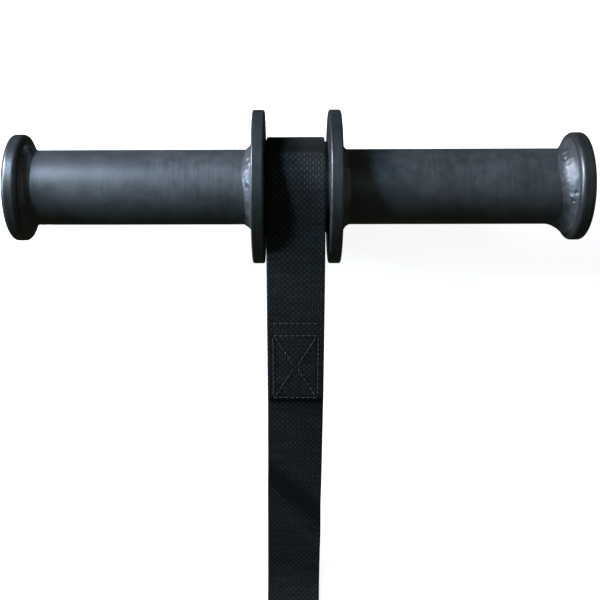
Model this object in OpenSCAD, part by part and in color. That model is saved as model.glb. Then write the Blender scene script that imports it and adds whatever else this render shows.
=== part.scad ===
// Wrist and forearm roller: a welded steel bar with two handles and a flanged spool,
// a webbing strap sewn round the spool, and a swivel snap hook at the strap's free end.
//
// X runs along the bar and +Z is up. The bar rests on the rims of its two spool flanges,
// and the origin is on the resting surface, under the middle of the bar. The strap runs
// towards -Y, down to the surface, through a folded hank, and ends at the hook.

/* [Bar] */
// Outer diameter of the two handle tubes
handle_d = 50; // [42:1:52]
// Wall thickness of the handle tubes and of the spool drum
tube_wall = 3; // [2:0.5:5]
// Clear length of each handle, between its flange and its end disc
handle_l = 150; // [110:1:200]
// Diameter of the two end discs
end_disc_d = 71; // [68:1:90]
// Thickness of the end discs
end_disc_t = 10; // [7:0.5:12]
// Radius that the rims of the end discs are rounded with
end_disc_edge = 3; // [0.5:0.1:3.4]

/* [Spool] */
// Diameter of the two spool flanges
flange_d = 102; // [98:1:106]
// Thickness of the spool flanges
flange_t = 8; // [5:0.5:12]
// Radius that the rims of the flanges are rounded with
flange_edge = 1.2; // [0.4:0.1:2]
// Width of the winding space between the flanges
spool_gap = 42; // [42:0.5:60]
// Outer diameter of the drum that the strap is sewn round
drum_d = 60.3; // [56:0.1:61]

/* [Welds] */
// Leg length of the fillet welds at the handle ends and the flanges
handle_weld = 6; // [3:0.5:7]
// Leg length of the fillet welds inside the spool
drum_weld = 1.5; // [1:0.1:1.6]

/* [Strap] */
// Width of the webbing
strap_w = 38; // [30:0.5:38]
// Thickness of the webbing
strap_t = 2.8; // [2:0.1:2.8]
// How far out from the bar the two legs of the drum eye are joined
eye_reach = 86; // [85:1:100]
// Length of the sewn overlap below the drum eye
sewn_l = 62; // [50:1:64]
// Distance from the bar to the near end of the folded hank
hank_y = 315; // [310:1:340]
// Length of the folded hank
hank_l = 130; // [100:1:160]
// Number of strap runs in the hank, always odd
hank_runs = 5; // [3:2:7]
// Width of the elastic tie that holds the hank together
tie_w = 25; // [15:1:40]

/* [Snap hook] */
// Diameter of the wire of the swivel eye
eye_wire_d = 6; // [5:0.5:6]
// Diameter of the bar that the hook ring is bent from
hook_wire_d = 8; // [7:0.5:8]
// Radius of the hook ring's two round ends, at the middle of the bar
hook_r = 15; // [14:0.5:18]
// Length of the hook's straight spine
spine_l = 34; // [34:1:50]

/* [Hidden] */
$fn = 96;
axis_z = flange_d / 2;
flange_x = spool_gap / 2;
handle_x = flange_x + flange_t;
end_x = handle_x + handle_l;
drum_r = drum_d / 2;

// Strap: air between the webbing and what it is wrapped round, and between sewn layers
wrap_gap = 0.3;
layer_gap = 0.1;
layer_pitch = strap_t + layer_gap;
arc_step = 4;
strap_z = strap_t / 2;

// Drum eye: the slopes at which the strap leaves the drum and is sewn, and its lower bend
drum_c = [0, axis_z];
roll_r = drum_r + wrap_gap + strap_t / 2;
leave_a = 5;
sewn_a = 17;
leg_r = (eye_reach - roll_r * sin(leave_a)) / (sin(sewn_a) - sin(leave_a));
leg_c = drum_c + (roll_r - leg_r) * up(leave_a);
sewn_top = leg_c + leg_r * up(sewn_a);
sewn_low = sewn_top - layer_pitch * up(sewn_a);
bend_r = 38;
bend_c = sewn_low - bend_r * up(sewn_a);
bend_a = over_under(bend_c, bend_r, drum_c, roll_r);

// Run down to the surface
run_start = sewn_low + sewn_l * down(sewn_a);
land_r = 80;
land_top = strap_z + land_r * (1 - cos(sewn_a));
land_y = run_start[0] - (run_start[1] - land_top) / tan(sewn_a) - land_r * sin(sewn_a);

// Hank: the pitch of its runs and the radius of its folded ends
fold_pitch = 4.4;
hank_h = (hank_runs - 1) * fold_pitch + strap_t;
hank_edge = 8;
hank_end = -hank_y - hank_l;
tie_y = -hank_y - hank_l / 2;
tie_t = 1.2;
tie_gap = 0.1;
tie_edge = 1;

// Ramp from the top of the hank down to the surface, made of two equal bends
ramp_r = 40;
ramp_a = acos(1 - (hank_h - strap_t) / (2 * ramp_r));
ramp_end = hank_end - 2 * ramp_r * sin(ramp_a);

// Hook eye: the webbing's turn round the bar of the swivel eye, and its sewn overlap
hook_roll_r = eye_wire_d / 2 + wrap_gap + strap_t / 2;
bar_c = [ramp_end - 57, strap_z + hook_roll_r];
hook_sewn_l = 32;
settle_r = 15;
settle_c = [bar_c[0] + 20, strap_z + layer_pitch + settle_r];
settle_a = over_under(bar_c, hook_roll_r, settle_c, settle_r);

// Swivel eye: half its width and its length, both at the middle of the wire. Its bar is
// straight across the whole webbing.
eye_corner_r = 5;
eye_x = strap_w / 2 + eye_corner_r;
eye_l = 24;
boss_r = bar_c[1];
boss_l = 10;
pin_d = 6;
running_fit = 0.06;
head_d = 2 * boss_r - 1.2;
head_t = 3;
face_gap = 0.3;

// Hook, measured from the bar of the swivel eye towards the tip
boss_end = eye_l + boss_l / 2;
collar_start = boss_end + face_gap;
collar_t = 3;
collar_d = 2 * boss_r - 0.2;
ring_top = collar_start + collar_t + hook_wire_d / 2 + 0.6;
ring_c = ring_top + hook_r;
ring_end = ring_c + spine_l;
pin_socket = 8;

// Gate: its pivot, its fork and the lap that closes it against the nose
gate_d = 8.4;
pivot = ring_c + 5;
pivot_d = 2.5;
pivot_fit = 0.05;
tongue_t = 2.6;
tongue_r = 3.4;
fork_gap = 5.2;
fork_play = 0.2;
nose_l = 4;
lap_l = 4;
lap_gap = 0.3;
gate_end = ring_end - nose_l - 0.4;
spring_wire = 0.5;
spring_r = 2;
spring_turns = 3;

// Stitching: the size of one stitch and how far the rows stay from the webbing's edges
stitch_l = 2.6;
stitch_w = 0.6;
stitch_h = 0.35;
stitch_pitch = 3.6;
stitch_inset = 4;

paint = [0.11, 0.12, 0.13];
weld_paint = [0.16, 0.16, 0.17];
webbing = [0.07, 0.07, 0.08];
thread = [0.22, 0.22, 0.23];
zinc = [0.62, 0.63, 0.65];
spring_steel = [0.45, 0.46, 0.48];

// The strap is drawn from its side, as points [y, z]. At a slope of a degrees its surface
// faces up(a), and it runs on towards down(a).
function up(a) = [-sin(a), cos(a)];
function down(a) = [-cos(a), -sin(a)];

// Direction, from circle 1's centre, of the straight stretch's end on circle 1 when the
// strap passes over circle 1 and under circle 2
function over_under(c1, r1, c2, r2) =
    let (d = c2 - c1)
    atan2(d[1], d[0]) + acos((r1 + r2) / norm(d));

// Stretches of the strap's middle line, as pairs of a point and the direction it faces
function bend(c, r, from, to, side) =
    let (n = ceil(abs(to - from) / arc_step))
    [for (i = [0:n])
        let (a = from + (to - from) * i / n, out = [cos(a), sin(a)])
        [c + r * out, side * out]];

// Bar ---------------------------------------------------------------------------------

// Turns children drawn as [radius, distance along X] round the bar's axis
module on_axis() {
    translate([0, 0, axis_z])
        rotate([0, 90, 0])
            rotate_extrude()
                children();
}

module tube(d, from, to) {
    on_axis()
        translate([d / 2 - tube_wall, from])
            square([tube_wall, to - from]);
}

module rounded_disc(d, t, edge, from) {
    on_axis()
        translate([0, from])
            union() {
                square([d / 2 - edge, t]);
                translate([0, edge])
                    square([d / 2, t - 2 * edge]);
                translate([d / 2 - edge, edge])
                    circle(edge);
                translate([d / 2 - edge, t - edge])
                    circle(edge);
            }
}

// A hollow fillet in the corner between a tube and a disc. Its disc face is at x, and the
// bead lies on the side that side points to, +1 or -1.
module fillet_weld(d, leg, x, side) {
    on_axis()
        difference() {
            translate([d / 2, side > 0 ? x : x - leg])
                square(leg);
            translate([d / 2 + leg, x + side * leg])
                circle(leg * 0.94);
        }
}

module handle_tube_left() {
    color(paint) tube(handle_d, -end_x, -handle_x);
}

module handle_tube_right() {
    color(paint) tube(handle_d, handle_x, end_x);
}

module end_disc_left() {
    color(paint) rounded_disc(end_disc_d, end_disc_t, end_disc_edge, -end_x - end_disc_t);
}

module end_disc_right() {
    color(paint) rounded_disc(end_disc_d, end_disc_t, end_disc_edge, end_x);
}

module spool_flange_left() {
    color(paint) rounded_disc(flange_d, flange_t, flange_edge, -handle_x);
}

module spool_flange_right() {
    color(paint) rounded_disc(flange_d, flange_t, flange_edge, flange_x);
}

module spool_drum() {
    color(paint) tube(drum_d, -flange_x, flange_x);
}

module end_weld_left() {
    color(weld_paint) fillet_weld(handle_d, handle_weld, -end_x, 1);
}

module end_weld_right() {
    color(weld_paint) fillet_weld(handle_d, handle_weld, end_x, -1);
}

module flange_weld_left() {
    color(weld_paint) fillet_weld(handle_d, handle_weld, -handle_x, -1);
}

module flange_weld_right() {
    color(weld_paint) fillet_weld(handle_d, handle_weld, handle_x, 1);
}

module drum_weld_left() {
    color(weld_paint) fillet_weld(drum_d, drum_weld, -flange_x, 1);
}

module drum_weld_right() {
    color(weld_paint) fillet_weld(drum_d, drum_weld, flange_x, -1);
}

// Strap -------------------------------------------------------------------------------

// Extrudes a side view [y, z] across the strap's width
module across(width) {
    rotate([90, 0, 90])
        linear_extrude(width, center = true)
            children();
}

module strap_along(path) {
    last = len(path) - 1;
    across(strap_w)
        polygon(concat(
            [for (s = path) s[0] + s[1] * strap_t / 2],
            [for (i = [last:-1:0]) path[i][0] - path[i][1] * strap_t / 2]
        ));
}

// From the cut end of the sewn tail, over and round the drum, and back to the overlap
module strap_drum_eye() {
    color(webbing)
        strap_along(concat(
            [[sewn_top + sewn_l * down(sewn_a), up(sewn_a)]],
            bend(leg_c, leg_r, 90 + sewn_a, 90 + leave_a, 1),
            bend(drum_c, roll_r, 90 + leave_a, bend_a - 180, 1),
            bend(bend_c, bend_r, bend_a, 90 + sewn_a, -1),
            [[run_start, -up(sewn_a)]]
        ));
}

// From the overlap down to the surface and along it to the hank
module strap_run() {
    color(webbing)
        strap_along(concat(
            [[run_start, up(sewn_a)]],
            bend([land_y, strap_z + land_r], land_r, 270 + sewn_a, 270, -1),
            [[[-hank_y, strap_z], [0, 1]]]
        ));
}

// The strap enters the hank at the bottom of its near end and leaves at the top of its
// far end, so those two corners are square and the other two follow the folds. The tie
// draws the runs together in the middle.
module strap_hank() {
    color(webbing)
        across(strap_w)
            difference() {
                polygon(concat(
                    [[-hank_y, 0]],
                    [for (a = [0:10:90])
                        [-hank_y - hank_edge, hank_h - hank_edge] + hank_edge * [cos(a), sin(a)]],
                    [[hank_end, hank_h]],
                    [for (a = [180:10:270])
                        [hank_end + hank_edge, hank_edge] + hank_edge * [cos(a), sin(a)]]
                ));
                for (z = [tie_t - hank_h, hank_h - tie_t])
                    translate([tie_y - tie_w / 2, z])
                        square([tie_w, hank_h]);
            }
}

// An elastic band round the middle of the hank
module hank_tie() {
    half = strap_w / 2 + tie_gap;
    color(thread)
        translate([0, tie_y + tie_w / 2, 0])
            rotate([90, 0, 0])
                linear_extrude(tie_w)
                    difference() {
                        rounded_box([-half - tie_t, 0], [half + tie_t, hank_h], tie_edge);
                        translate([-half, tie_t])
                            square([2 * half, hank_h - 2 * tie_t]);
                    }
}

module rounded_box(low, high, edge) {
    translate(low + [edge, 0])
        square(high - low - [2 * edge, 0]);
    translate(low + [0, edge])
        square(high - low - [0, 2 * edge]);
    for (x = [low[0] + edge, high[0] - edge], y = [low[1] + edge, high[1] - edge])
        translate([x, y])
            circle(edge);
}

// From the top of the hank down to the surface, round the bar of the swivel eye and back
module strap_hook_end() {
    color(webbing)
        strap_along(concat(
            bend([hank_end, hank_h - strap_z - ramp_r], ramp_r, 90, 90 + ramp_a, 1),
            bend([ramp_end, strap_z + ramp_r], ramp_r, 270 + ramp_a, 270, -1),
            bend(bar_c, hook_roll_r, 270, settle_a, -1),
            bend(settle_c, settle_r, settle_a + 180, 270, 1),
            [[[settle_c[0] + hook_sewn_l, strap_z + layer_pitch], [0, -1]]]
        ));
}

// Stitches lie on the webbing. Here X is across the strap, Y is along it and z is up.
module stitch_line(from, to) {
    run = to - from;
    n = floor(norm(run) / stitch_pitch);
    for (i = [0:n - 1])
        translate(from + run * (i + 0.5) / n)
            rotate([0, 0, atan2(run[1], run[0])])
                translate([-stitch_l / 2, -stitch_w / 2, 0])
                    cube([stitch_l, stitch_w, stitch_h]);
}

// A stitched box with a cross in it, from near to far along the strap
module box_stitch(near, far) {
    x = strap_w / 2 - stitch_inset;
    in = 1.5;
    stitch_line([-x, near], [x, near]);
    stitch_line([-x, far], [x, far]);
    stitch_line([-x, near + in], [-x, far - in]);
    stitch_line([x, near + in], [x, far - in]);
    stitch_line([-x + in, near + in], [-in, (near + far) / 2 - in]);
    stitch_line([in, (near + far) / 2 + in], [x - in, far - in]);
    stitch_line([x - in, near + in], [in, (near + far) / 2 - in]);
    stitch_line([-in, (near + far) / 2 + in], [-x + in, far - in]);
}

// Puts children on the strap's face at a point [y, z], where it slopes by a degrees
module on_strap(p, a) {
    translate([0, p[0], p[1]])
        rotate([a, 0, 0])
            children();
}

module drum_eye_stitching() {
    top = sewn_top + strap_t / 2 * up(sewn_a);
    bottom = sewn_low - strap_t / 2 * up(sewn_a);
    rows = [3.5, 12.5, sewn_l - 3];
    color(thread) {
        on_strap(top, sewn_a) {
            box_stitch(-rows[2], -rows[1]);
            stitch_line([stitch_inset - strap_w / 2, -rows[0]], [strap_w / 2 - stitch_inset, -rows[0]]);
        }
        on_strap(bottom, sewn_a)
            mirror([0, 0, 1]) {
                box_stitch(-rows[2], -rows[1]);
                stitch_line([stitch_inset - strap_w / 2, -rows[0]], [strap_w / 2 - stitch_inset, -rows[0]]);
            }
    }
}

module hook_eye_stitching() {
    color(thread)
        on_strap([settle_c[0], strap_z + layer_pitch + strap_t / 2], 0)
            box_stitch(3, hook_sewn_l - 3);
}

// Snap hook ---------------------------------------------------------------------------

// Here X is across the hook and Y is the distance from the bar of the swivel eye
module at_bar() {
    translate([0, bar_c[0], bar_c[1]])
        rotate([0, 0, 180])
            mirror([1, 0, 0])
                children();
}

module rod_y(d, x, from, to) {
    translate([x, from, 0])
        rotate([-90, 0, 0])
            cylinder(d = d, h = to - from);
}

module rod_x(d, y, from, to) {
    translate([from, y, 0])
        rotate([0, 90, 0])
            cylinder(d = d, h = to - from);
}

module bent_rod(d, r, c, from, sweep) {
    translate([c[0], c[1], 0])
        rotate([0, 0, from])
            rotate_extrude(angle = sweep)
                translate([r, 0])
                    circle(d = d);
}

module swivel_eye() {
    x = eye_x - eye_corner_r;
    y = eye_l - eye_corner_r;
    color(zinc)
        at_bar()
            difference() {
                union() {
                    rod_x(eye_wire_d, 0, -x, x);
                    rod_x(eye_wire_d, eye_l, -x, x);
                    for (side = [-1, 1])
                        rod_y(eye_wire_d, side * eye_x, eye_corner_r, y);
                    bent_rod(eye_wire_d, eye_corner_r, [x, eye_corner_r], -90, 90);
                    bent_rod(eye_wire_d, eye_corner_r, [x, y], 0, 90);
                    bent_rod(eye_wire_d, eye_corner_r, [-x, y], 90, 90);
                    bent_rod(eye_wire_d, eye_corner_r, [-x, eye_corner_r], 180, 90);
                    rod_y(2 * boss_r, 0, eye_l - boss_l / 2, boss_end);
                }
                rod_y(pin_d + 2 * running_fit, 0, eye_l - boss_l, boss_end + 1);
            }
}

// The rivet that the hook turns on, pressed into the hook's collar
module swivel_pin() {
    head_end = eye_l - boss_l / 2 - face_gap;
    color(zinc)
        at_bar() {
            rod_y(head_d, 0, head_end - head_t, head_end);
            rod_y(pin_d, 0, head_end, collar_start + pin_socket - 2);
        }
}

module hook_body() {
    nose = ring_end - nose_l;
    color(zinc)
        at_bar()
            difference() {
                union() {
                    rod_y(collar_d, 0, collar_start, collar_start + collar_t);
                    rod_y(collar_d - 2, 0, collar_start + collar_t, ring_top + 1);
                    bent_rod(hook_wire_d, hook_r, [0, ring_c], 180, 180);
                    rod_y(hook_wire_d, hook_r, ring_c, ring_end);
                    bent_rod(hook_wire_d, hook_r, [0, ring_end], 0, 180);
                    rod_y(hook_wire_d, -hook_r, nose - lap_l, ring_end);
                    tongue();
                }
                rod_y(pin_d, 0, collar_start - 1, collar_start + pin_socket - 2);
                translate([-hook_r - lap_gap / 2, nose - lap_l - 1, -hook_wire_d])
                    cube([hook_wire_d, lap_l + 1, 2 * hook_wire_d]);
                translate([-hook_r, pivot, -hook_wire_d])
                    cylinder(d = pivot_d + 2 * pivot_fit, h = 2 * hook_wire_d);
            }
}

// The flat lug that the gate pivots on
module tongue() {
    translate([-hook_r, 0, fork_play - fork_gap / 2]) {
        translate([0, pivot, 0])
            cylinder(r = tongue_r, h = tongue_t);
        translate([-tongue_r, ring_c - 1, 0])
            cube([2 * tongue_r, pivot - ring_c + 1, tongue_t]);
    }
}

module gate() {
    lap_start = gate_end - lap_l;
    color(zinc)
        at_bar()
            difference() {
                intersection() {
                    rod_y(gate_d, -hook_r, pivot - gate_d, gate_end);
                    union() {
                        translate([-hook_r, pivot, -gate_d])
                            cylinder(d = gate_d, h = 2 * gate_d);
                        translate([-hook_r - gate_d, pivot, -gate_d])
                            cube([2 * gate_d, gate_end, 2 * gate_d]);
                    }
                }
                translate([-hook_r - gate_d, pivot - gate_d, -fork_gap / 2])
                    cube([2 * gate_d, gate_d + tongue_r + 0.8, fork_gap]);
                translate([-hook_r, pivot, -gate_d])
                    cylinder(d = pivot_d, h = 2 * gate_d);
                translate([-hook_r - gate_d + lap_gap / 2, lap_start, -gate_d])
                    cube([gate_d, lap_l + 1, 2 * gate_d]);
            }
}

module gate_pin() {
    color(spring_steel)
        at_bar()
            translate([-hook_r, pivot, -gate_d / 2 + 0.4])
                cylinder(d = pivot_d, h = gate_d - 0.8);
}

// A coil round the pivot, in the part of the fork that the tongue leaves free
module gate_spring() {
    sides = 8;
    rings = spring_turns * 20;
    pitch = spring_wire + 0.05;
    tongue_top = fork_play - fork_gap / 2 + tongue_t;
    start = (tongue_top + fork_gap / 2 - spring_turns * pitch) / 2;
    points = [for (i = [0:rings], j = [0:sides - 1])
        let (a = 360 * spring_turns * i / rings, b = 360 * j / sides,
            r = spring_r + spring_wire / 2 * cos(b))
        [r * cos(a), r * sin(a), start + pitch * a / 360 + spring_wire / 2 * sin(b)]];
    walls = [for (i = [0:rings - 1], j = [0:sides - 1])
        let (k = (j + 1) % sides)
        [i * sides + j, i * sides + k, (i + 1) * sides + k, (i + 1) * sides + j]];
    first_cap = [for (j = [sides - 1:-1:0]) j];
    last_cap = [for (j = [0:sides - 1]) rings * sides + j];
    color(spring_steel)
        at_bar()
            translate([-hook_r, pivot, 0])
                polyhedron(points, concat(walls, [first_cap, last_cap]));
}

handle_tube_left();
handle_tube_right();
end_disc_left();
end_disc_right();
spool_flange_left();
spool_flange_right();
spool_drum();
end_weld_left();
end_weld_right();
flange_weld_left();
flange_weld_right();
drum_weld_left();
drum_weld_right();
strap_drum_eye();
strap_run();
strap_hank();
hank_tie();
strap_hook_end();
drum_eye_stitching();
hook_eye_stitching();
swivel_eye();
swivel_pin();
hook_body();
gate();
gate_pin();
gate_spring();
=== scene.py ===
"""The looks of a wrist roller: a painted steel bar with a flanged spool, a webbing strap
sewn round the spool's drum, and a zinc-plated snap hook at the strap's free end.

Everything is in metres, in the CAD frame: X along the bar, the strap towards -Y, +Z up,
and the resting surface at z = 0."""

import math

import bpy
import numpy as np
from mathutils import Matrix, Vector, noise


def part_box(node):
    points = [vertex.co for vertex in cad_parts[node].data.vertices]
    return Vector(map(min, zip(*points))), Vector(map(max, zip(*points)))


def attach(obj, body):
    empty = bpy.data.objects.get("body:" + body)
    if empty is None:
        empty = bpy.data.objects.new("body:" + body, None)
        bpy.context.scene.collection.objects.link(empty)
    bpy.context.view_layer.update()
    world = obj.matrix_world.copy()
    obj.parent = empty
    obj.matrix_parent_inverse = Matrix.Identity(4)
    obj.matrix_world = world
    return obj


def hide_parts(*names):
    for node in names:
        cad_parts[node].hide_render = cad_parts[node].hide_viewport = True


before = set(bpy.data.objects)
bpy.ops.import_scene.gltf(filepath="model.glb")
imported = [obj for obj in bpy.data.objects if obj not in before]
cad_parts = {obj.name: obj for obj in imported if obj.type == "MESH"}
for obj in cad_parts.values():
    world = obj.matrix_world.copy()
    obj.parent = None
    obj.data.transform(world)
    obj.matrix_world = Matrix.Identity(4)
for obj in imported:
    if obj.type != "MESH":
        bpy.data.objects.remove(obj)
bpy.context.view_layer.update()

MM = 0.001


# Sizes from the frame ------------------------------------------------------------------

def half_extent(node, axis):
    low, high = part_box(node)
    return (high[axis] - low[axis]) / 2


AXIS_Z = half_extent("spool_flange_left", 2)
HANDLE_R = half_extent("handle_tube_left", 2)
DRUM_R = half_extent("spool_drum", 2)
SPOOL_X = half_extent("spool_drum", 0)
HANDLE_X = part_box("handle_tube_right")[0].x
END_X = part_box("handle_tube_right")[1].x

# The strap's route, with the same driving sizes as the CAD model. Names that end in _A are
# slopes in degrees, and _R radii.
STRAP_W = 2 * half_extent("strap_run", 0)
STRAP_T = 2.8 * MM
WRAP_GAP = 0.3 * MM
LAYER_PITCH = 2.9 * MM
EYE_REACH = 86 * MM
SEWN_L = 62 * MM
LEAVE_A = 5
SEWN_A = 17
BEND_R = 38 * MM
LAND_R = 80 * MM
HANK_Y = 315 * MM
HANK_L = 130 * MM
HANK_RUNS = 5
FOLD_PITCH = 4.4 * MM
TIE_W = 25 * MM
TIE_T = 1.2 * MM
TIE_GAP = 0.1 * MM
RAMP_R = 40 * MM
EYE_WIRE_R = 3 * MM
HOOK_REACH = 57 * MM
HOOK_SEWN_L = 32 * MM
SETTLE_R = 15 * MM
SETTLE_Y = 20 * MM
STITCH_INSET = 4 * MM
STITCH_PITCH = 3.6 * MM
SEAM_MARGIN = 3 * MM
STITCH_ROWS = (3.5 * MM, 12.5 * MM, SEWN_L - SEAM_MARGIN)
CORNER_GAP = 1.5 * MM

# Two points closer than this are one point
SAME_PLACE = 1e-7

STRAP_Z = STRAP_T / 2
HANK_H = (HANK_RUNS - 1) * FOLD_PITCH + STRAP_T
HANK_END = -HANK_Y - HANK_L
TIE_Y = -HANK_Y - HANK_L / 2

# The hank: the pitch of its runs inside the tie, how far from the tie they reach their full
# pitch, how far each run stays back from the hank's ends, and the steps in a run
TIED_PITCH = 3.8 * MM
LOOSEN_L = 30 * MM
RUN_TUCKS = (0, 1.5 * MM, 0.6 * MM, 2.2 * MM, 0)
RUN_STEPS = 80

# How the webbing departs from that plain route. It lies to one side on the drum, leans
# further over as it runs to the hank, and comes back from there to the hook. The tie is
# halfway along the hank.
DRUM_DRIFT = -0.7 * MM
DRIFT = -2.2 * MM
TIE_DRIFT = 0.7 * DRIFT
RAMP_DRIFT = 0.4 * DRIFT
# It has a shallow wave in front of the drum
WAVE_PLACE = 30 * MM
WAVE_HEIGHT = 0.5 * MM
WAVE_REACH = 9 * MM
# It has a crease behind the top of the drum
CREASE_PLACE = 25 * MM
CREASE_HEIGHT = 1.2 * MM
CREASE_LIFT_L = 9 * MM
CREASE_DROP_L = 3.5 * MM
# It has one slanting fold below the seam, and lies plain at the seam and at the hank
FOLD_PLACE = 79 * MM
FOLD_SKEW = 0.95
FOLD_HEIGHT = 4.2 * MM
FOLD_REACH = 12 * MM
PLAIN_BELOW_SEAM = 20 * MM
PLAIN_BEFORE_HANK = 30 * MM


# The strap's route ---------------------------------------------------------------------
# Points are [y, z]. At a slope of a degrees the strap's face points to up(a), and it runs
# on towards down(a).

def turn(a):
    """The direction at an angle of a degrees."""
    return np.array([math.cos(math.radians(a)), math.sin(math.radians(a))])


def up(a):
    return turn(a + 90)


def down(a):
    return turn(a + 180)


def over_under(c1, r1, c2, r2):
    """Direction from c1 of the straight stretch's end on circle 1, when the strap passes
    over circle 1 and under circle 2."""
    d = c2 - c1
    apart = math.acos((r1 + r2) / np.hypot(*d))
    return math.degrees(math.atan2(d[1], d[0]) + apart)


def arc(c, r, start, end):
    n = max(2, math.ceil(abs(end - start)))
    return [c + r * turn(start + (end - start) * i / n) for i in range(n + 1)]


ROLL_R = DRUM_R + WRAP_GAP + STRAP_T / 2
DRUM_C = np.array([0, AXIS_Z])
LEG_R = (EYE_REACH - ROLL_R * math.sin(math.radians(LEAVE_A))) / (
    math.sin(math.radians(SEWN_A)) - math.sin(math.radians(LEAVE_A)))
LEG_C = DRUM_C + (ROLL_R - LEG_R) * up(LEAVE_A)
SEWN_TOP = LEG_C + LEG_R * up(SEWN_A)
SEWN_LOW = SEWN_TOP - LAYER_PITCH * up(SEWN_A)
BEND_C = SEWN_LOW - BEND_R * up(SEWN_A)
BEND_A = over_under(BEND_C, BEND_R, DRUM_C, ROLL_R)
RUN_START = SEWN_LOW + SEWN_L * down(SEWN_A)
LAND_TOP = STRAP_Z + LAND_R * (1 - math.cos(math.radians(SEWN_A)))
LAND_Y = (RUN_START[0] - (RUN_START[1] - LAND_TOP) / math.tan(math.radians(SEWN_A))
          - LAND_R * math.sin(math.radians(SEWN_A)))
RAMP_A = math.degrees(math.acos(1 - (HANK_H - STRAP_T) / (2 * RAMP_R)))
RAMP_END = HANK_END - 2 * RAMP_R * math.sin(math.radians(RAMP_A))
HOOK_ROLL_R = EYE_WIRE_R + WRAP_GAP + STRAP_T / 2
BAR_C = np.array([RAMP_END - HOOK_REACH, STRAP_Z + HOOK_ROLL_R])
SETTLE_C = np.array([BAR_C[0] + SETTLE_Y, STRAP_Z + LAYER_PITCH + SETTLE_R])
SETTLE_A = over_under(BAR_C, HOOK_ROLL_R, SETTLE_C, SETTLE_R)


def smooth(t):
    t = min(1.0, max(0.0, t))
    return t * t * (3 - 2 * t)


def hank_z(run, y):
    """Height of one run of the hank: the tie draws the runs together in the middle."""
    free = STRAP_Z + run * FOLD_PITCH
    tied = TIE_T + STRAP_T / 2 + TIE_GAP + run * TIED_PITCH
    away = abs(y - TIE_Y) - TIE_W / 2
    return tied + (free - tied) * smooth(away / LOOSEN_L)


def hank_route():
    """Five runs, to and fro, and the folds between them."""
    fold_r = FOLD_PITCH / 2
    route = []
    for run, tuck in enumerate(RUN_TUCKS):
        first_run, last_run = run == 0, run == HANK_RUNS - 1
        outward = run % 2 == 0
        near_end = -HANK_Y - (0 if first_run else fold_r + STRAP_T / 2 + tuck)
        far_end = HANK_END + (0 if last_run else fold_r + STRAP_T / 2 + tuck)
        start, end = (near_end, far_end) if outward else (far_end, near_end)
        for i in range(RUN_STEPS + 1):
            y = start + (end - start) * i / RUN_STEPS
            route.append(np.array([y, hank_z(run, y)]))
        if not last_run:
            centre = route[-1] + [0, fold_r]
            sweep = -180 if outward else 180
            route += arc(centre, fold_r, -90, -90 + sweep)[1:]
    return route


def strap_stretches():
    """The whole strap, in stretches, from the cut end of its sewn tail to the end of its
    hook eye."""
    tail = SEWN_TOP + SEWN_L * down(SEWN_A)
    hook_end = np.array([SETTLE_C[0] + HOOK_SEWN_L, STRAP_Z + LAYER_PITCH])
    return {
        "tail": [tail] + arc(LEG_C, LEG_R, 90 + SEWN_A, 90 + LEAVE_A),
        "drum": arc(DRUM_C, ROLL_R, 90 + LEAVE_A, BEND_A - 180),
        "under": arc(BEND_C, BEND_R, BEND_A, 90 + SEWN_A),
        "run": [SEWN_LOW, RUN_START]
        + arc(np.array([LAND_Y, STRAP_Z + LAND_R]), LAND_R, 270 + SEWN_A, 270),
        "hank": hank_route(),
        "ramp": arc(np.array([HANK_END, HANK_H - STRAP_Z - RAMP_R]), RAMP_R, 90, 90 + RAMP_A)
        + arc(np.array([RAMP_END, STRAP_Z + RAMP_R]), RAMP_R, 270 + RAMP_A, 270),
        "hook": arc(BAR_C, HOOK_ROLL_R, 270, SETTLE_A)
        + arc(SETTLE_C, SETTLE_R, SETTLE_A + 180, 270) + [hook_end],
    }


def lengths_along(points):
    return np.append(0, np.cumsum(np.hypot(*np.diff(points, axis=0).T)))


def joined(stretches):
    """One line of points without repeats, and how far along it each stretch starts."""
    points = np.array([p for stretch in stretches.values() for p in stretch])
    along = lengths_along(points)
    starts, count = {}, 0
    for name, stretch in stretches.items():
        starts[name] = along[count]
        count += len(stretch)
    keep = np.append(True, np.diff(along) > SAME_PLACE)
    return points[keep], along[keep], starts


# Mesh helpers --------------------------------------------------------------------------

def mesh_object(name, points, faces, material):
    mesh = bpy.data.meshes.new(name)
    mesh.from_pydata([tuple(p) for p in points], [], faces)
    mesh.validate()
    mesh.shade_smooth()
    mesh.materials.append(material)
    obj = bpy.data.objects.new(name, mesh)
    bpy.context.scene.collection.objects.link(obj)
    return obj


def ring_faces(rings, sides, closed):
    """Quads between rings of points, each ring a closed loop. closed joins the last ring
    to the first; otherwise both ends are capped."""
    faces = []
    for i in range(rings if closed else rings - 1):
        a, b = i * sides, (i + 1) % rings * sides
        for j in range(sides):
            k = (j + 1) % sides
            faces.append((a + j, a + k, b + k, b + j))
    if not closed:
        faces.append(tuple(range(sides - 1, -1, -1)))
        faces.append(tuple((rings - 1) * sides + j for j in range(sides)))
    return faces


# Materials -----------------------------------------------------------------------------
# The scale of a noise is in cycles per metre. stretch gives it three scales, along X, Y
# and Z, and the noise on it then has scale 1.

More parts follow.
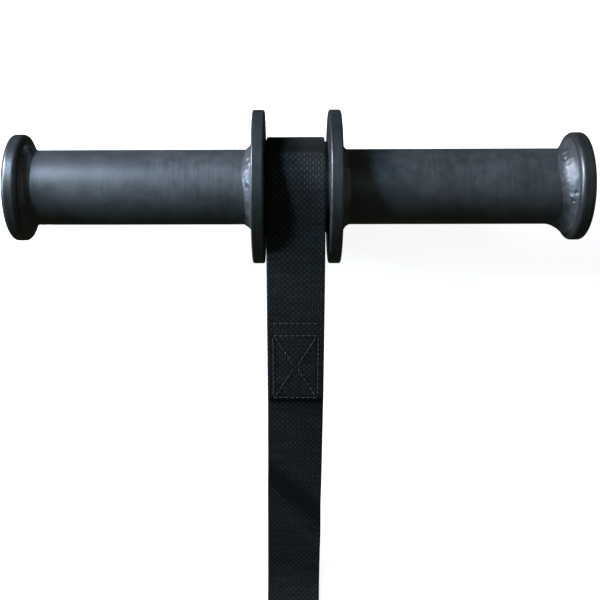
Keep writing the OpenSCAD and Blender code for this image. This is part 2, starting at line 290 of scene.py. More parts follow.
class Look:
    """A procedural material under construction: small helpers round its node tree. Where
    they take a value, it is a number or another node's output."""

    def __init__(self, name, **shader):
        self.material = bpy.data.materials.new(name)
        self.material.use_nodes = True
        self.tree = self.material.node_tree
        self.shader = self.tree.nodes["Principled BSDF"]
        for key, value in shader.items():
            self.shader.inputs[key.replace("_", " ")].default_value = value

    def add(self, kind, inputs=(), **settings):
        node = self.tree.nodes.new("ShaderNode" + kind)
        for key, value in settings.items():
            setattr(node, key, value)
        for socket, value in dict(inputs).items():
            if isinstance(value, bpy.types.NodeSocket):
                self.tree.links.new(value, node.inputs[socket])
            else:
                node.inputs[socket].default_value = value
        return node

    def math(self, operation, a, b=0.0):
        return self.add("Math", {0: a, 1: b}, operation=operation).outputs[0]

    def weigh(self, *pairs):
        """Adds up values, given as pairs of a value and its weight."""
        parts = [self.math("MULTIPLY", value, weight) for value, weight in pairs]
        total = parts[0]
        for part in parts[1:]:
            total = self.math("ADD", total, part)
        return total

    def ramp(self, value, low, high, to_low=0.0, to_high=1.0):
        """A smooth step: to_low where value is low, to_high where it is high."""
        return self.add("MapRange", {0: value, 1: low, 2: high, 3: to_low, 4: to_high},
                        interpolation_type="SMOOTHSTEP").outputs[0]

    def noise(self, vector, scale, detail=2.0, roughness=0.5):
        inputs = {"Vector": vector, "Scale": scale, "Detail": detail, "Roughness": roughness}
        return self.add("TexNoise", inputs).outputs["Fac"]

    def mix(self, amount, a, b):
        node = self.add("Mix", {0: amount, 6: a, 7: b}, data_type="RGBA")
        return node.outputs[2]

    def place(self, name="Object"):
        return self.add("TexCoord").outputs[name]

    def stretch(self, vector, scale):
        return self.add("Mapping", {"Vector": vector, "Scale": scale}).outputs[0]

    def bump(self, height, distance, strength=1.0, normal=None):
        inputs = {"Height": height, "Distance": distance, "Strength": strength}
        if normal is not None:
            inputs["Normal"] = normal
        return self.add("Bump", inputs).outputs[0]

    def set(self, socket, value):
        self.tree.links.new(value, self.shader.inputs[socket])


def paint_look(name, light, dark, rough, gloss, worn=0.5):
    """Satin paint over turned steel: faint blotches, marks round the bar, orange peel and
    worn edges. rough is the middle of its roughness."""
    look = Look(name, Specular_IOR_Level=gloss)
    place = look.place()
    blotch = look.noise(place, scale=26, detail=3.0, roughness=0.55)
    mottle = look.noise(place, scale=140, detail=4.0, roughness=0.6)
    turned = look.noise(look.stretch(place, (620, 30, 30)), scale=1, detail=3.0,
                        roughness=0.65)
    peel = look.noise(place, scale=1100)
    tone = look.weigh((blotch, 0.45), (mottle, 0.35), (turned, 0.2))
    colour = look.mix(look.ramp(tone, 0.38, 0.62), dark, light)

    # Wear where the surface bends sharply, in patches
    rounded = look.add("Bevel", {"Radius": 1.2 * MM}, samples=4).outputs[0]
    flat = look.add("NewGeometry").outputs["Normal"]
    dot = look.add("VectorMath", {0: rounded, 1: flat}, operation="DOT_PRODUCT")
    edge = look.ramp(dot.outputs["Value"], 0.995, 0.93)
    wear = look.math("MULTIPLY", edge, look.ramp(mottle, 0.46, 0.62))
    bare = (0.11, 0.115, 0.125, 1)
    look.set("Base Color", look.mix(look.math("MULTIPLY", wear, worn), colour, bare))

    spread = look.weigh((blotch, 0.20), (turned, 0.24), (mottle, 0.16))
    middle = 0.31
    look.set("Roughness", look.math("ADD", spread, rough - middle))
    fine = look.bump(peel, 0.02 * MM, strength=0.5)
    marks = look.bump(turned, 0.09 * MM, strength=0.5, normal=fine)
    look.set("Normal", look.bump(mottle, 0.12 * MM, strength=0.5, normal=marks))
    return look.material


def webbing_look(fold_at):
    """Black woven webbing. The UV map holds the place across and along it, in metres, and
    fold_at is how far along its middle the slanting fold is."""
    look = Look("webbing", Sheen_Weight=0.05, Sheen_Roughness=0.4, Specular_IOR_Level=0.36)
    uv = look.add("SeparateXYZ", {0: look.place("UV")})
    across, along = uv.outputs[0], uv.outputs[1]

    # A float is a lens one column wide and half a cycle long. Neighbouring columns are half
    # a cycle apart.
    column = look.math("DIVIDE", across, COLUMN)
    cycle = look.math("DIVIDE", along, CYCLE)
    own = look.math("ADD", cycle, look.math("MULTIPLY", look.math("FLOOR", column), 0.5))
    float_v = look.math("COSINE", look.math("MULTIPLY", own, math.tau))
    float_v = look.math("ADD", look.math("MULTIPLY", float_v, 0.5), 0.5)
    float_u = look.math("ABSOLUTE", look.math("SINE", look.math("MULTIPLY", column, math.pi)))
    lens = look.math("MULTIPLY", look.math("POWER", float_u, 1.5), float_v)

    # The yarn's strands, which slant to and fro, its hairs, and how even the weave is
    slant = look.math("PINGPONG", look.math("MULTIPLY", cycle, 2.0), 1.0)
    strands = look.math("ADD", column, look.math("MULTIPLY", slant, 0.35))
    strand = look.math("SINE", look.math("MULTIPLY", strands, STRANDS * math.tau))
    place = look.place()
    fuzz = look.noise(place, scale=2600, detail=3.0, roughness=0.6)
    patch = look.noise(look.stretch(place, (260, 260, 260)), scale=1, detail=3.0,
                       roughness=0.6)
    cloud = look.noise(place, scale=60, detail=3.0, roughness=0.6)
    picks = look.noise(look.stretch(look.place("UV"), (45, 420, 1)), scale=1, detail=3.0,
                       roughness=0.65)
    stand = look.ramp(picks, 0.32, 0.68, to_low=0.22, to_high=0.62)
    # Painted highlight and shade: the tops of the floats much lighter than the gaps between
    # them, with tone that differs at random along and across
    shade = look.weigh((lens, stand), (picks, 0.26), (patch, 0.24))
    raised = look.ramp(shade, 0.19, 0.80)
    body = look.mix(raised, (0.0010, 0.0014, 0.0015, 1), (0.034, 0.039, 0.040, 1))
    faded = look.mix(look.ramp(cloud, 0.45, 0.75, to_high=0.2), body,
                     (0.010, 0.012, 0.013, 1))

    # Painted shade: darker from the crease on the drum onwards, and along the slanting fold
    drum_shade = look.math("MULTIPLY", look.ramp(along, PAINTED_SHADE_FROM, PAINTED_SHADE_FROM + PAINTED_SHADE_EDGE),
                      look.ramp(along, PAINTED_SHADE_TO, PAINTED_SHADE_TO - PAINTED_SHADE_FADE))
    skewed = look.math("MULTIPLY", look.math("SUBTRACT", across, STRAP_W / 2), FOLD_SKEW)
    off_fold = look.math("SUBTRACT", look.math("SUBTRACT", along, fold_at), skewed)
    fold_shade = look.ramp(look.math("ABSOLUTE", off_fold), FOLD_REACH, 0.25 * FOLD_REACH)
    dull = look.math("MAXIMUM", drum_shade, look.math("MULTIPLY", fold_shade, 0.95))
    look.set("Base Color", look.mix(dull, faded, (0.0010, 0.0013, 0.0014, 1)))

    sunken = look.math("SUBTRACT", 1.0, raised)
    spread = look.math("ADD", look.ramp(patch, 0.3, 0.7, to_low=0.44, to_high=0.60),
                       look.math("MULTIPLY", sunken, 0.25))
    look.set("Roughness", look.math("ADD", spread, look.math("MULTIPLY", dull, 0.35)))
    fibres = look.bump(strand, 0.03 * MM, strength=0.5)
    hairs = look.bump(fuzz, 0.08 * MM, strength=0.5, normal=fibres)
    look.set("Normal", look.bump(lens, 0.22 * MM, strength=0.6, normal=hairs))
    return look.material


def thread_look(name, colour):
    """Twisted sewing thread or covered elastic."""
    look = Look(name, Roughness=0.6, Sheen_Weight=0.3)
    twist = look.noise(look.stretch(look.place(), (3000, 3000, 900)), scale=1)
    shade = look.ramp(twist, 0.35, 0.65, to_low=0.55, to_high=1.25)
    tinted = look.add("VectorMath", {0: colour, 3: shade}, operation="SCALE")
    look.set("Base Color", tinted.outputs[0])
    look.set("Roughness", look.ramp(twist, 0.3, 0.7, to_low=0.5, to_high=0.75))
    look.set("Normal", look.bump(twist, 0.08 * MM, strength=0.8))
    return look.material


def metal_look(name, colour, dull, rough):
    """Plated or bare metal: cloudy plating, fine grain and scratches. rough is the middle
    of its roughness."""
    look = Look(name, Metallic=1.0)
    place = look.place()
    cloud = look.noise(place, scale=130, detail=4.0, roughness=0.6)
    grain = look.noise(place, scale=2200)
    scratch = look.noise(look.stretch(place, (300, 90, 2500)), scale=1)
    look.set("Base Color", look.mix(look.ramp(cloud, 0.35, 0.65), dull, colour))
    spread = look.weigh((cloud, 0.2), (scratch, 0.12))
    middle = 0.16
    look.set("Roughness", look.math("ADD", spread, rough - middle))
    scratched = look.bump(scratch, 0.03 * MM, strength=0.4)
    look.set("Normal", look.bump(grain, 0.03 * MM, strength=0.5, normal=scratched))
    return look.material


# Strap ---------------------------------------------------------------------------------
# The weave stands up in floats, one half cycle long and alternating between neighbouring
# yarn columns, with two mesh columns to a yarn column. Each yarn is twisted from strands.

COLUMNS = 21
COLUMN = STRAP_W / COLUMNS
CYCLE = 3.75 * MM
STRANDS = 4
FLOAT_RISE = 0.24 * MM

# The webbing's edges: the outer mesh columns on each side rise by a set share of a float, the
# corners are set in, and the upright part of the edge is lower than the webbing is thick
EDGE_COLUMNS = 2
EDGE_RISE = 0.4
EDGE_INSET = 0.5 * MM
EDGE_HALF = 0.45 * STRAP_T / 2

# Bends tighter than this get all their mesh rows
TIGHT_R = 12 * MM

# How deep and how far from a seam its thread pulls the webbing in, and how the webbing thins
# at its two cut ends
PINCH = 0.26 * MM
PINCH_R = 0.9 * MM
TAIL_TAPER = 3.2 * MM
TAIL_THIN = 1.5 * MM

# The stretch of the strap with painted shade, measured along it: it starts at a sharp line at
# the crease on the drum and fades out
PAINTED_SHADE_FROM = SEWN_L + 109 * MM
PAINTED_SHADE_TO = 300 * MM
PAINTED_SHADE_EDGE = 3 * MM
PAINTED_SHADE_FADE = 20 * MM


def stitch_lines(near, far):
    """A stitched box with a cross in it: the ends of each line, as [across, along]."""
    x, c, middle = STRAP_W / 2 - STITCH_INSET, CORNER_GAP, (near + far) / 2
    return [
        ((-x, near), (x, near)), ((-x, far), (x, far)),
        ((-x, near + c), (-x, far - c)), ((x, near + c), (x, far - c)),
        ((-x + c, near + c), (-c, middle - c)), ((c, middle + c), (x - c, far - c)),
        ((x - c, near + c), (c, middle - c)), ((-c, middle + c), (-x + c, far - c)),
    ]


SEAM_X = STRAP_W / 2 - STITCH_INSET
DRUM_SEAM = [((-SEAM_X, STITCH_ROWS[0]), (SEAM_X, STITCH_ROWS[0]))]
DRUM_SEAM += stitch_lines(STITCH_ROWS[1], STITCH_ROWS[2])
HOOK_SEAM = stitch_lines(SEAM_MARGIN, HOOK_SEWN_L - SEAM_MARGIN)


def pinch(x, along, seam):
    """How far the thread pulls the webbing in at a place on a seam."""
    nearest = 1.0
    for start, end in seam:
        start, run = np.array(start), np.subtract(end, start)
        to = np.array([x, along]) - start
        t = min(1.0, max(0.0, to @ run / (run @ run)))
        nearest = min(nearest, np.hypot(*(to - t * run)))
    return PINCH * math.exp(-(nearest / PINCH_R) ** 2)


def ripple(distance, height, reach):
    """A rise and then an equal dip, with the steep stretch between them at distance 0."""
    t = distance / reach
    return -height * t * math.exp(0.5 - t * t / 2)


def crease(distance):
    """A crease in the webbing: it lifts off the drum slowly and drops back fast."""
    reach = -CREASE_LIFT_L if distance < 0 else CREASE_DROP_L
    return CREASE_HEIGHT * math.exp(-distance / reach)


class Strap:
    """The strap's line, and where its surface lies across it."""

    def __init__(self):
        points, along, self.starts = joined(strap_stretches())
        self.length = along[-1]
        self.seam_end = self.starts["run"] + SEWN_L
        self.fold_at = self.seam_end + FOLD_PLACE
        self.rows = self.row_places(points, along)
        line = np.stack([np.interp(self.rows, along, points[:, i]) for i in (0, 1)], axis=1)
        ahead = np.gradient(line, self.rows, axis=0)
        ahead /= np.hypot(*ahead.T)[:, None]
        self.line = line
        self.facing = np.stack([-ahead[:, 1], ahead[:, 0]], axis=1)
        drift_at = [0, self.seam_end, self.starts["hank"], self.starts["ramp"],
                    self.starts["hook"]]
        drifts = [DRUM_DRIFT, DRUM_DRIFT, DRIFT, RAMP_DRIFT, 0]
        self.drift = np.interp(self.rows, drift_at, drifts)

    def row_places(self, points, along):
        """Mesh rows a quarter of a weave cycle apart where the strap is in full view or
        bends tightly, and half a cycle elsewhere."""
        quarter = CYCLE / 4
        places = np.linspace(0, along[-1], round(along[-1] / quarter) + 1)
        y, z = (np.interp(places, along, points[:, i]) for i in (0, 1))
        slope = np.unwrap(np.arctan2(np.gradient(z, places), np.gradient(y, places)))
        tight = np.abs(np.gradient(slope, places)) > 1 / TIGHT_R
        view = (places < self.starts["under"]) | (places > self.seam_end)
        view &= places < self.starts["hank"]
        even = np.arange(len(places)) % 2 == 0
        return places[even | tight | view]

    def lift(self, s, x):
        """How far the webbing stands off its plain route, at s along it and x across."""
        drum, under, hank = (self.starts[name] for name in ("drum", "under", "hank"))
        if s < drum:
            return -ripple(drum - s - WAVE_PLACE, WAVE_HEIGHT, WAVE_REACH)
        if s < under:
            return crease(s - drum - CREASE_PLACE)
        if self.seam_end < s < hank:
            rise = ripple(s - self.fold_at - FOLD_SKEW * x, FOLD_HEIGHT, FOLD_REACH)
            fade_in = smooth((s - self.seam_end) / PLAIN_BELOW_SEAM)
            return rise * fade_in * smooth((hank - s) / PLAIN_BEFORE_HANK)
        return 0.0

    def seam(self, s, x):
        """How far a seam's thread pulls the outer face in."""
        if s < SEWN_L:
            return pinch(x, SEWN_L - s, DRUM_SEAM)
        if self.starts["run"] < s < self.seam_end:
            return pinch(x, s - self.starts["run"], DRUM_SEAM)
        if s > self.length - HOOK_SEWN_L:
            return pinch(x, s - self.length + HOOK_SEWN_L, HOOK_SEAM)
        return 0.0

    def half(self, j, s, phase):
        """Half the strap's thickness at mesh column j, at s along it."""
        if j <= EDGE_COLUMNS or j >= 2 * COLUMNS - EDGE_COLUMNS:
            rise = EDGE_RISE
        elif j % 2 == 0:
            rise = 0.0
        else:
            rise = 0.5 + 0.5 * math.cos(math.tau * (s / CYCLE + phase + (j // 2) / 2))
        return STRAP_T / 2 - FLOAT_RISE * (1 - rise)


def strap_mesh(strap, material):
    """The webbing as one closed skin: each mesh row is a ring of outer face, edge, inner
    face and edge. The weave of the inner face is half a cycle off."""
    across = np.linspace(-STRAP_W / 2, STRAP_W / 2, 2 * COLUMNS + 1)
    across[0] += EDGE_INSET
    across[-1] -= EDGE_INSET
    points, uvs = [], []
    for p, n, s, drift in zip(strap.line, strap.facing, strap.rows, strap.drift):
        ends = min(s, strap.length - s)
        thin = TAIL_THIN * (1 - smooth(ends / TAIL_TAPER))
        ring = [(x, strap.half(j, s, 0) - thin - strap.seam(s, x), s)
                for j, x in enumerate(across)]
        ring += [(STRAP_W / 2, EDGE_HALF - thin, s), (STRAP_W / 2, -EDGE_HALF, s)]
        ring += [(x, -strap.half(j, s, 0.5), s + CYCLE / 2)
                 for j, x in reversed(list(enumerate(across)))]
        ring += [(-STRAP_W / 2, -EDGE_HALF, s), (-STRAP_W / 2, EDGE_HALF - thin, s)]
        for x, h, v in ring:
            y, z = p + n * (h + strap.lift(s, x))
            points.append((x + drift, y, z))
            uvs.append((x + STRAP_W / 2, v))
    rows = len(strap.rows)
    faces = ring_faces(rows, len(points) // rows, closed=False)
    faces = [tuple(reversed(f)) for f in faces]
    piece = mesh_object("webbing_strap", points, faces, material)
    layer = piece.data.uv_layers.new(name="weave")
    for loop in piece.data.loops:
        layer.data[loop.index].uv = uvs[loop.vertex_index]
    return piece


# Thread and tie ------------------------------------------------------------------------

# A stitch: its length, the thread's radius, how far its arch rises, how deep it starts, how
# square the arch is, and its mesh
STITCH_L = 3.0 * MM
THREAD_R = 0.30 * MM
ARCH_RISE = 0.62 * MM
ARCH_DEPTH = 0.42 * MM
ARCH_POWER = 0.6
THREAD_RINGS = 7
THREAD_SIDES = 6

# The tie's mesh and shape: points round it, ribs' mesh lines across it, the height of a rib,
# how much its edges thin, its corners, and how far its ends overlap and step
BAND_STEPS = 150
BAND_LINES = 36
RIB_RISE = 0.13 * MM
BAND_EDGE = 0.35 * MM
BAND_CORNER = 1.6 * MM
BAND_OVERLAP = 9 * MM
BAND_STEP = (2 * MM, 1 * MM)


def stitch_points(start, end, place):
    """The rings of one stitch: it comes out of the webbing, lies on it and goes back in.
    place turns [across, along, height] into a point."""
    start, run = np.array(start), np.subtract(end, start)
    aside = np.array([-run[1], run[0]]) / np.hypot(*run)
    rings = []
    for i in range(THREAD_RINGS):
        t = i / (THREAD_RINGS - 1)
        middle = start + run * t
        height = ARCH_RISE * math.sin(math.pi * t) ** ARCH_POWER - ARCH_DEPTH
        for k in range(THREAD_SIDES):
            a = math.tau * k / THREAD_SIDES
            spot = middle + aside * THREAD_R * math.cos(a)
            rings.append(place(spot[0], spot[1], height + THREAD_R * math.sin(a)))
    return rings


def stitches(name, seams, material):
    """Every stitch of some seams. seams holds each seam's lines and its place function."""
    points, faces = [], []
    tube = ring_faces(THREAD_RINGS, THREAD_SIDES, closed=False)
    for lines, place in seams:
        for start, end in lines:
            start, run = np.array(start), np.subtract(end, start)
            count = int(np.hypot(*run) / STITCH_PITCH)
            half = run / np.hypot(*run) * STITCH_L / 2
            for i in range(count):
                middle = start + run * (i + 0.5) / count
                first = len(points)
                points += stitch_points(middle - half, middle + half, place)
                faces += [tuple(first + v for v in face) for face in tube]
    piece = mesh_object(name, points, faces, material)
    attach(piece, "strap")
    return piece


def seam_place(origin, along, out, drift=0.0):
    """Places seam points on a face of the webbing. origin, along and out are [y, z]."""
    def place(x, s, height):
        y, z = origin + along * s + out * height
        return (x + drift, y, z)
    return place


def tie_band(material):
    """A ribbed elastic band round the hank, its ends overlapping on top."""
    half_w = STRAP_W / 2 + TIE_GAP + TIE_T / 2
    low = TIE_T / 2
    high = TIE_T * 1.5 + (HANK_RUNS - 1) * TIED_PITCH + STRAP_T + 2 * TIE_GAP
    inner_w, top, bottom = half_w - BAND_CORNER, high - BAND_CORNER, low + BAND_CORNER
    loop = [(-BAND_OVERLAP, high)]
    for centre, first in (((inner_w, top), 90), ((inner_w, bottom), 0),
                          ((-inner_w, bottom), -90), ((-inner_w, top), -180)):
        loop += [tuple(np.array(centre) + BAND_CORNER * turn(first - a))
                 for a in range(0, 91, 15)]
    loop += [(-BAND_OVERLAP - BAND_STEP[0], high),
             (-BAND_OVERLAP + BAND_STEP[1], high + TIE_T), (BAND_OVERLAP, high + TIE_T)]
    loop = np.array(loop)
    along = lengths_along(loop)
    at = np.linspace(0, along[-1], BAND_STEPS)
    line = np.stack([np.interp(at, along, loop[:, i]) for i in (0, 1)], axis=1)
    ahead = np.gradient(line, axis=0)
    ahead /= np.hypot(*ahead.T)[:, None]
    out = np.stack([-ahead[:, 1], ahead[:, 0]], axis=1)
    points = []
    for p, n in zip(line, out):
        for side in (1, -1):
            for j in range(BAND_LINES + 1):
                t = j if side > 0 else BAND_LINES - j
                rib = RIB_RISE if t % 4 in (1, 2) else 0
                edge = BAND_EDGE if t in (0, BAND_LINES) else 0
                x, z = p + n * side * (TIE_T / 2 - RIB_RISE + rib - edge)
                points.append((x + TIE_DRIFT, TIE_Y + TIE_W * (t / BAND_LINES - 0.5), z))
    faces = ring_faces(len(line), 2 * (BAND_LINES + 1), closed=False)
    piece = mesh_object("hank_band", points, faces, material)
    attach(piece, "strap")
    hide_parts("hank_tie")
    return piece


# Welds ---------------------------------------------------------------------------------

# How deep a bead's hidden sides lie inside the tube and the disc, and its edge on the tube
SINK = 0.25 * MM
TOE_SINK = 0.04 * MM

# Its unevenness: the size of the coarse noise and its height, how much finer the fine noise
# is and its height, and how far apart in the noise two welds are
ROUGH_SIZE = 7 * MM
ROUGH_HEIGHT = 0.50 * MM
FINE_RATIO = 3.1
FINE_HEIGHT = 0.20 * MM
SEED_STEPS = (9.1, 5.3)

# How fast the swelling and unevenness grow from the tube, and from the disc
TUBE_TAPER = 14
DISC_TAPER = 6

# Its mesh: steps round the bar and across the bead, and the angle of a sharp edge
BEAD_STEPS = 300
BEAD_PROFILE = 14
SHARP_A = 70


class Weld:
    """A fillet weld round the bar, in the corner of a tube and a disc.

    Angles go round the bar in degrees, from 0 at +Y through 90 at +Z. leg is the bead's
    length along the tube and out its height up the disc. crown is how much its middle
    swells, as a share of its size, and sway moves that towards the disc. Each of the four
    takes an angle. Each lump is an angle, a place from 0 at the tube to 1 at the disc, a
    radius and a height. seed picks the bead's unevenness."""

    def __init__(self, tube_r, face_x, side, leg, out, crown, sway=None, lumps=(), seed=1):
        self.tube_r, self.face_x, self.side = tube_r, face_x, side
        self.leg, self.out, self.crown = leg, out, crown
        self.sway = sway or (lambda a: 0.0)
        self.lumps, self.seed = lumps, seed

    def point(self, a, t):
        """Distance from the disc and height over the tube, at angle a and place t."""
        leg, out = self.leg(a), self.out(a)
        x, r = leg * (1 - t), out * t
        face = math.hypot(leg, out)
        size = leg * out / face
        swell = self.crown(a) * math.sin(math.pi * t) - self.sway(a) * math.sin(math.tau * t)
        around = math.radians(a)
        spot = Vector((math.cos(around), math.sin(around), 0)) * self.tube_r
        spot.z = x
        spot /= ROUGH_SIZE
        coarse = spot + Vector((self.seed * SEED_STEPS[0], 0, 0))
        fine = spot * FINE_RATIO + Vector((0, self.seed * SEED_STEPS[1], 0))
        rough = ROUGH_HEIGHT * noise.noise(coarse) + FINE_HEIGHT * noise.noise(fine)
        push = size * swell + rough * math.sin(math.pi * t) ** 0.5
        for angle, place, radius, height in self.lumps:
            apart = math.radians((a - angle + 180) % 360 - 180) * (self.tube_r + r)
            aside = (t - place) * face
            push += height * math.exp(-(apart ** 2 + aside ** 2) / radius ** 2)
        push *= min(1.0, TUBE_TAPER * t, DISC_TAPER * (1 - t))
        x += push * out / face
        r += push * leg / face
        return max(x, -SINK), max(r, -SINK)

    def mesh(self, name, material):
        points = []
        for i in range(BEAD_STEPS):
            a = 360 * i / BEAD_STEPS
            section = [self.point(a, k / BEAD_PROFILE) for k in range(BEAD_PROFILE + 1)]
            section[0] = (section[0][0], -TOE_SINK)
            section.append((-SINK, self.out(a)))
            section.append((-SINK, -SINK))
            for x, r in section:
                y, z = (self.tube_r + r) * turn(a)
                points.append((self.face_x + self.side * x, y, AXIS_Z + z))
        faces = ring_faces(BEAD_STEPS, len(points) // BEAD_STEPS, closed=True)
        if self.side < 0:
            faces = [tuple(reversed(f)) for f in faces]
        bead = mesh_object(name, points, faces, material)
        bead.data.set_sharp_from_angle(angle=math.radians(SHARP_A))
        return bead


def near(a, angle, reach):
    """1 at an angle, falling to 0 some way beyond reach on both sides."""
    apart = (a - angle + 180) % 360 - 180
    return math.exp(-(apart / reach) ** 2)


# The six welds. Each starts with its tube's radius, where its disc's face is along the bar,
# and 1 or -1 for a bead that runs from that face towards +X or -X.
WELDS = {
    "end_weld_left": Weld(
        HANDLE_R, -END_X, 1,
        leg=lambda a: (5.6 + 1.0 * near(a, 90, 50) + 1.4 * near(a, 18, 22)) * MM,
        out=lambda a: (5.4 + 1.2 * near(a, 30, 30)) * MM,
        crown=lambda a: -0.20 + 0.1 * near(a, 25, 20),
        lumps=((30, 0.62, 3.4 * MM, 1.9 * MM), (14, 0.5, 2.6 * MM, 1.0 * MM),
               (44, 0.84, 0.9 * MM, -1.5 * MM), (24, 0.20, 1.2 * MM, -1.7 * MM),
               (38, 0.36, 0.9 * MM, -1.0 * MM)),
        seed=1),
    "end_weld_right": Weld(
        HANDLE_R, END_X, -1,
        leg=lambda a: (6.0 + 5.2 * near(a, 64, 52) + 17.0 * near(a, 185, 26)) * MM,
        out=lambda a: (7.2 - 0.8 * near(a, 70, 45)) * MM,
        crown=lambda a: -0.10 - 0.32 * near(a, 185, 40),
        sway=lambda a: 0.09 - 0.09 * near(a, 185, 60),
        lumps=((35, 0.40, 2.2 * MM, 1.0 * MM), (50, 0.34, 1.0 * MM, -0.7 * MM),
               (98, 0.80, 0.9 * MM, -1.3 * MM), (109, 0.66, 0.8 * MM, -1.0 * MM),
               (104, 0.50, 1.4 * MM, 0.4 * MM), (120, 0.7, 2.6 * MM, -0.5 * MM)),
        seed=2),
    "flange_weld_left": Weld(
        HANDLE_R, -HANDLE_X, -1,
        leg=lambda a: (4.8 + 2.0 * near(a, 66, 24) + 1.0 * near(a, 180, 30)) * MM,
        out=lambda a: (5.6 + 1.6 * near(a, 30, 35)) * MM,
        crown=lambda a: -0.16 + 0.14 * near(a, 66, 24),
        lumps=((70, 0.30, 2.4 * MM, 0.8 * MM), (50, 0.50, 1.6 * MM, 0.8 * MM),
               (84, 0.45, 1.3 * MM, 0.6 * MM), (60, 0.75, 1.4 * MM, 0.5 * MM)),
        seed=3),
    "flange_weld_right": Weld(
        HANDLE_R, HANDLE_X, 1,
        leg=lambda a: (4.6 + 1.2 * near(a, 95, 50) + 1.6 * near(a, 180, 35)) * MM,
        out=lambda a: (4.6 + 1.4 * near(a, 180, 40)) * MM,
        crown=lambda a: -0.10 + 0.14 * near(a, 80, 50),
        sway=lambda a: 0.06,
        lumps=((38, 0.5, 2.4 * MM, 0.7 * MM), (64, 0.4, 1.6 * MM, 0.4 * MM)),
        seed=4),
    "drum_weld_left": Weld(
        DRUM_R, -SPOOL_X, 1, leg=lambda a: 1.0 * MM, out=lambda a: 3.2 * MM,
        crown=lambda a: 0.15, seed=5),
    "drum_weld_right": Weld(
        DRUM_R, SPOOL_X, -1, leg=lambda a: 1.5 * MM, out=lambda a: 2.0 * MM,
        crown=lambda a: -0.1, seed=6),
}


# Floor, lights and camera --------------------------------------------------------------

# Each light: its direction from the lit point, distance, size, power and colour
LIT_POINT = (0, 0, 0.05)
LIGHTS = {
    "key_light": ((-0.77, 0.54, 0.34), 1.0, 0.22, 11.3, (0.88, 0.86, 1.0)),
    "low_light": ((-0.95, 0.08, 0.31), 1.0, 0.22, 7.2, (0.60, 0.82, 1.0)),
    "high_light": ((-0.62, 0.45, 0.64), 1.0, 0.13, 5.4, (0.60, 0.80, 1.0)),
    "back_light": ((-0.55, 0.65, 0.52), 1.0, 0.13, 4.0, (0.45, 0.70, 1.0)),
    "top_light": ((-0.3, 0.2, 1.0), 1.6, 1.0, 1.2, (0.70, 0.93, 1.0)),
    "right_bounce": ((0.96, 0.10, 0.25), 1.4, 1.4, 1.3, (1.0, 0.95, 0.95)),
}
AMBIENT = 0.034
AMBIENT_COLOUR = (0.90, 1.0, 0.70, 1)
FLOOR_GLOW = 0.9

# The camera: where it stands, its height over the bar's axis, how it is turned in degrees
# from looking straight down, and its framing
CAMERA_X = -0.005
CAMERA_HEIGHT = 0.65
CAMERA_TURN = (-4.85, 1.16, -0.17)
SENSOR_W = 36
LENS = 58.18
SHIFT = (0.0511, -0.0513)


def floor_bowl():
    """A pale floor that rises all round, so that it fills every view. It glows, so that it
    looks evenly pale, and doesn't light the object."""
    look = Look("floor_white", Roughness=0.9)
    speck = look.noise(look.place(), scale=40)
    look.set("Base Color", look.mix(speck, (0.80, 0.80, 0.80, 1), (0.82, 0.82, 0.82, 1)))
    look.shader.inputs["Emission Color"].default_value = (1, 1, 1, 1)
    look.shader.inputs["Emission Strength"].default_value = FLOOR_GLOW
    middle_r, flat_r, bend_r, sides = 0.05, 3.0, 2.0, 64
    profile = [(middle_r, 0), (flat_r, 0)]
    profile += [(flat_r + bend_r * math.sin(math.radians(a)),
                 bend_r * (1 - math.cos(math.radians(a)))) for a in range(10, 91, 10)]
    profile.append((flat_r + bend_r, 4 * bend_r))
    points, faces = [], []
    for r, z in profile:
        points += [(r * math.cos(math.tau * j / sides), r * math.sin(math.tau * j / sides), z)
                   for j in range(sides)]
    for i in range(len(profile) - 1):
        for j in range(sides):
            k = (j + 1) % sides
            faces.append((i * sides + j, (i + 1) * sides + j,
                          (i + 1) * sides + k, i * sides + k))
    faces.append(tuple(range(sides)))
    floor = mesh_object("studio_floor", points, faces, look.material)
    floor.visible_diffuse = False
    floor.visible_glossy = False


def area_light(name, towards, distance, size, power, colour):
    data = bpy.data.lights.new(name, "AREA")
    data.shape = "RECTANGLE"
    data.size = size
    data.size_y = size
    data.energy = power
    data.color = colour
    light = bpy.data.objects.new(name, data)
    direction = Vector(towards).normalized()
    light.location = Vector(LIT_POINT) + direction * distance
    light.rotation_euler = direction.to_track_quat("Z", "Y").to_euler()
    bpy.context.scene.collection.objects.link(light)


def studio():
    floor_bowl()
    world = bpy.data.worlds.new("studio")
    world.use_nodes = True
    background = world.node_tree.nodes["Background"]
    background.inputs["Color"].default_value = AMBIENT_COLOUR
    background.inputs["Strength"].default_value = AMBIENT
    bpy.context.scene.world = world
    for name, (towards, distance, size, power, colour) in LIGHTS.items():
        area_light(name, towards, distance, size, power, colour)


def camera():
    data = bpy.data.cameras.new("camera")
    data.sensor_width = SENSOR_W
    data.lens = LENS
    data.shift_x, data.shift_y = SHIFT
    obj = bpy.data.objects.new("camera", data)
    obj.location = (CAMERA_X, 0, AXIS_Z + CAMERA_HEIGHT)
    obj.rotation_euler = [math.radians(a) for a in CAMERA_TURN]
    bpy.context.scene.collection.objects.link(obj)
    bpy.context.scene.camera = obj
    bpy.context.scene.view_settings.view_transform = "Standard"


# Assembly ------------------------------------------------------------------------------

def finish_node(name, material):
    """Gives a CAD node that stays in view its material."""
    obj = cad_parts[name]
    obj.data.materials.clear()
    obj.data.materials.append(material)


camera()
studio()

strap_line = Strap()

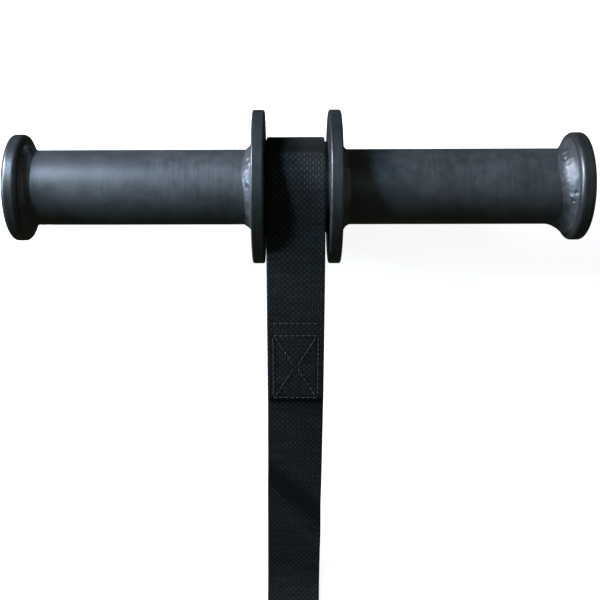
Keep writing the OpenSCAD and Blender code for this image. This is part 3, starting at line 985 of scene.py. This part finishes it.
tube_paint = paint_look("tube_paint", light=(0.062, 0.066, 0.069, 1),
                        dark=(0.036, 0.039, 0.041, 1), rough=0.48, gloss=0.95)
disc_paint = paint_look("disc_paint", light=(0.026, 0.028, 0.029, 1),
                        dark=(0.015, 0.0165, 0.0175, 1), rough=0.38, gloss=1.0)
weld_paint = paint_look("weld_paint", light=(0.060, 0.060, 0.063, 1),
                        dark=(0.026, 0.027, 0.029, 1), rough=0.45, gloss=1.0, worn=0.0)
webbing = webbing_look(strap_line.fold_at)
thread = thread_look("thread", colour=(0.015, 0.017, 0.019))
elastic = thread_look("tie_elastic", colour=(0.05, 0.05, 0.052))
zinc = metal_look("hook_zinc", colour=(0.70, 0.71, 0.73, 1), dull=(0.52, 0.53, 0.56, 1),
                  rough=0.36)
steel = metal_look("spring_steel", colour=(0.50, 0.50, 0.52, 1), dull=(0.36, 0.36, 0.38, 1),
                   rough=0.34)

for node in ("handle_tube_left", "handle_tube_right", "spool_drum"):
    finish_node(node, tube_paint)
for node in ("end_disc_left", "end_disc_right", "spool_flange_left", "spool_flange_right"):
    finish_node(node, disc_paint)
for node in ("swivel_eye", "swivel_pin", "hook_body", "gate"):
    finish_node(node, zinc)
for node in ("gate_pin", "gate_spring"):
    finish_node(node, steel)

for node, weld in WELDS.items():
    bead = weld.mesh(node + "_bead", weld_paint)
    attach(bead, "roller")
    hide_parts(node)

strap = strap_mesh(strap_line, webbing)
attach(strap, "strap")
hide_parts("strap_drum_eye", "strap_run", "strap_hank", "strap_hook_end")

half_t = STRAP_T / 2
drum_top = seam_place(SEWN_TOP + half_t * up(SEWN_A), down(SEWN_A), up(SEWN_A),
                      DRUM_DRIFT)
drum_low = seam_place(SEWN_LOW - half_t * up(SEWN_A), down(SEWN_A), -up(SEWN_A),
                      DRUM_DRIFT)
hook_top = seam_place(np.array([SETTLE_C[0], STRAP_Z + LAYER_PITCH + half_t]),
                      np.array([1, 0]), np.array([0, 1]))
drum_thread = stitches("drum_eye_thread", [(DRUM_SEAM, drum_top), (DRUM_SEAM, drum_low)],
                       thread)
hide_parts("drum_eye_stitching")
hook_thread = stitches("hook_eye_thread", [(HOOK_SEAM, hook_top)], thread)
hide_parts("hook_eye_stitching")
tie = tie_band(elastic)
